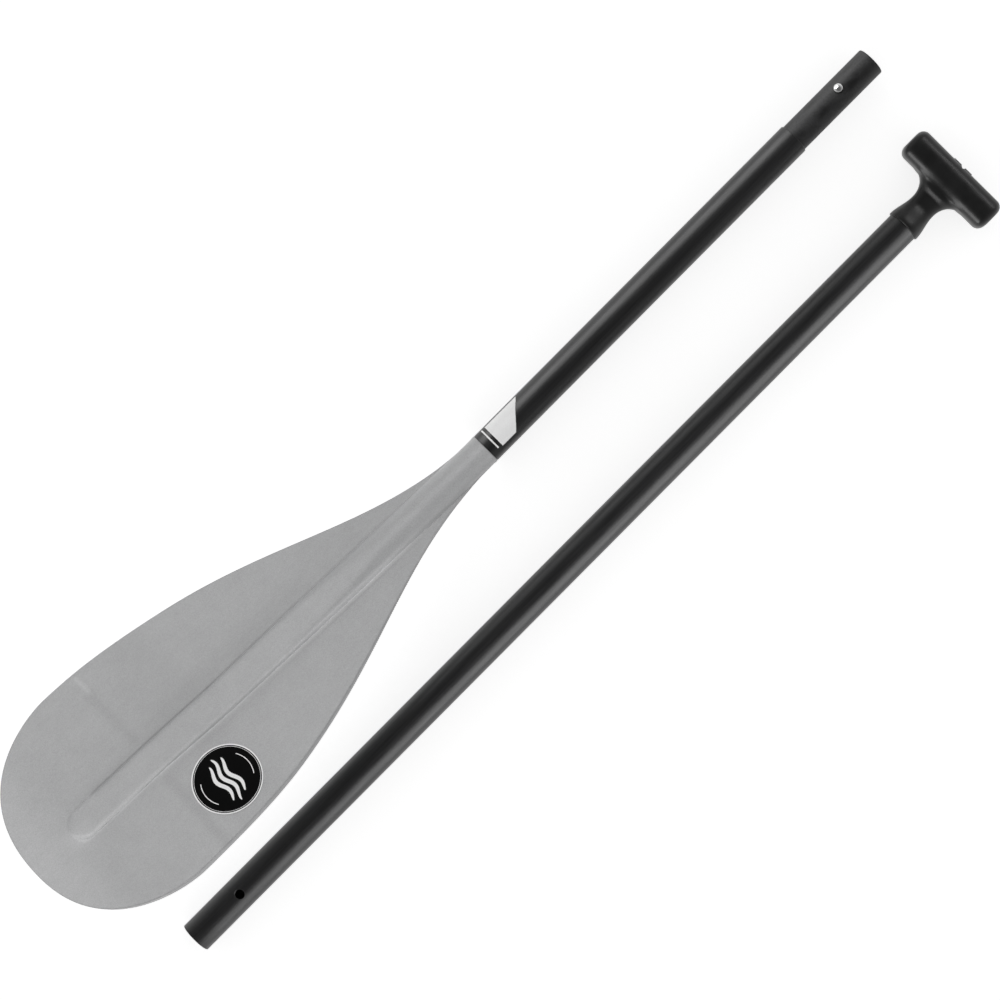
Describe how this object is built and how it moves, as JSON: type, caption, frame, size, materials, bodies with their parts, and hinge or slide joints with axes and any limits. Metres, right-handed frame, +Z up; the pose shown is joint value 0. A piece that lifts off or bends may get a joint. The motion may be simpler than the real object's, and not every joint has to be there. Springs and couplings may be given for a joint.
{
  "type": "take-apart paddle",
  "caption": "Stand-up paddle taken apart into a blade half with a sprung button ferrule and a handle half with a socket and T grip.",
  "frame": {"origin": "centre of the underside of the box around both halves, on the floor that they lie on", "axes": "+X along both shafts towards the ferrule and the T grip, +Y from the handle half to the blade half, +Z up out of the blade's face"},
  "size_m": [0.9603, 0.2752, 0.107],
  "materials": {
    "blade_grey": "satin",
    "badge_black": "satin",
    "print_white": "satin",
    "shaft_black": "satin",
    "ferrule_black": "matte",
    "button_steel": "polished",
    "spring_steel": "satin",
    "foam": "matte",
    "grip_core_black": "matte",
    "grip_black": "satin"
  },
  "bodies": {
    "handle_half": {"upper_shaft": "shaft_black", "upper_float_plug": "foam", "grip_core": "grip_core_black", "grip_skin": "grip_black", "grip_pads": "grip_core_black"},
    "handle_carrier": {"socket_seal_plug": "foam"},
    "blade_carrier": {"lower_float_plug": "foam"},
    "blade_half": {"blade": "blade_grey", "blade_badge": "badge_black", "neck_panel": "print_white", "neck_band": "print_white", "lower_shaft": "shaft_black", "ferrule": "ferrule_black", "spring_clip": "spring_steel"},
    "button": {"snap_button": "button_steel"}
  },
  "joints": [
    {"name": "push_together", "type": "slide", "parent": "handle_half", "child": "handle_carrier", "axis": [1, 0, 0], "range_m": [0, 0.4]},
    {"name": "carry_in_line", "type": "slide", "parent": "handle_carrier", "child": "blade_carrier", "axis": [-0.9955, -0.0946, 0], "range_m": [0, 1.23192]},
    {"name": "turn_level", "type": "hinge", "parent": "blade_carrier", "child": "blade_half", "pos_m": [0.3, 0.026, 0.0154], "axis": [1, 0, 0], "range_deg": [0, 14.01]},
    {"name": "button_press", "type": "slide", "parent": "blade_half", "child": "button", "axis": [0, -0.2419, -0.9703], "range_m": [0, 0.0035], "stiffness_N_per_m": 800, "springref_m": -0.003, "deforming": ["spring_clip"]}
  ],
  "couplings": [
    {"joint": "turn_level", "follows": "carry_in_line", "rad_per_m": 0.19835}
  ]
}
